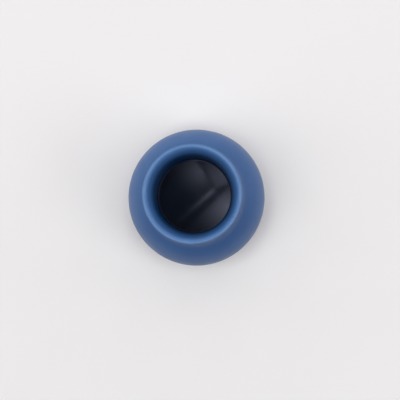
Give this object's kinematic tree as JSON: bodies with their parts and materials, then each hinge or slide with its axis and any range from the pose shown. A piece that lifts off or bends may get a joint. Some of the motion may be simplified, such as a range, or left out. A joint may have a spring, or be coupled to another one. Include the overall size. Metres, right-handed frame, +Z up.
{
  "type": "ink bottle",
  "caption": "Squat round ink bottle in blue glazed ceramic, with a wide open mouth, a rounded lip and dark ink filled to the root of the neck.",
  "frame": {"origin": "centre of the circle the bottle stands on", "axes": "+Z up along the bottle's axis, out of the mouth; the bottle is round, so +X and +Y are free"},
  "size_m": [0.066, 0.066, 0.061],
  "materials": {
    "blue_glaze": "satin blue glaze inside and out, unglazed under the foot ring",
    "ink": "still liquid ink, blue-black, mirror smooth"
  },
  "bodies": {
    "root": {"bottle_body": "blue_glaze", "ink": "ink"}
  },
  "joints": []
}
